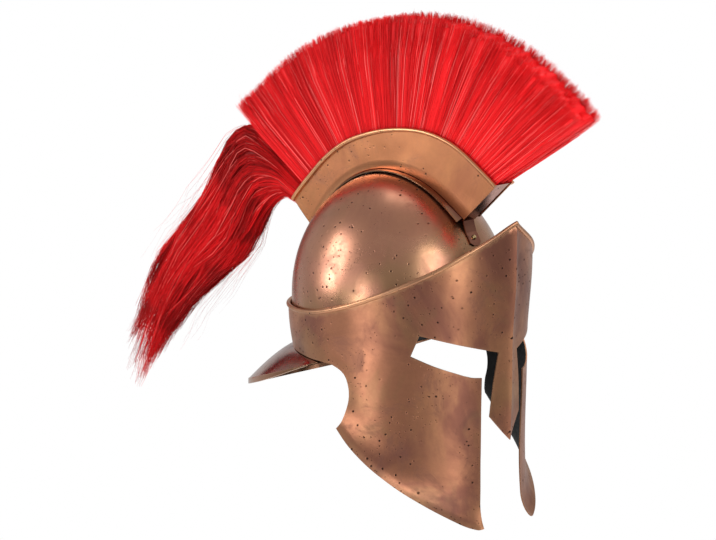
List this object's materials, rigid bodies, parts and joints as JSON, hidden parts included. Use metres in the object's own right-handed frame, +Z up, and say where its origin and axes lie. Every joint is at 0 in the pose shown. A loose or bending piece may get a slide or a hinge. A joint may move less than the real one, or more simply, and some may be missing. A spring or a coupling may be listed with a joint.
{
  "type": "corinthian helmet",
  "caption": "Sheet metal Corinthian helmet with brow band, nasal, cheek guards, nape guard and a tall horsehair crest with a hanging tail.",
  "frame": {"origin": "inner face of the dome's crown, where the helmet rests on a head", "axes": "+Z up, -Y towards the face, +X towards the wearer's left"},
  "size_m": [0.2074, 0.5886, 0.4626],
  "materials": {
    "dome_copper": "copper-finished steel, polished, with stains and small pits",
    "guard_copper": "copper-finished steel, satin, with stains and small pits",
    "nape_copper": "dark copper finish, shiny",
    "crest_copper": "golden copper finish, satin",
    "rivet_brass": "polished",
    "plume_hair": "dyed horsehair, straight, with pale glints"
  },
  "bodies": {
    "root": {"skull_dome": "dome_copper", "face_guard": "guard_copper", "nape_guard": "nape_copper", "crest_saddle": "nape_copper", "crest_plate_left": "crest_copper", "crest_plate_right": "crest_copper", "crest_front": "nape_copper", "tab_rivet": "rivet_brass", "plume_mane": "plume_hair", "plume_tail": "plume_hair"}
  },
  "joints": []
}
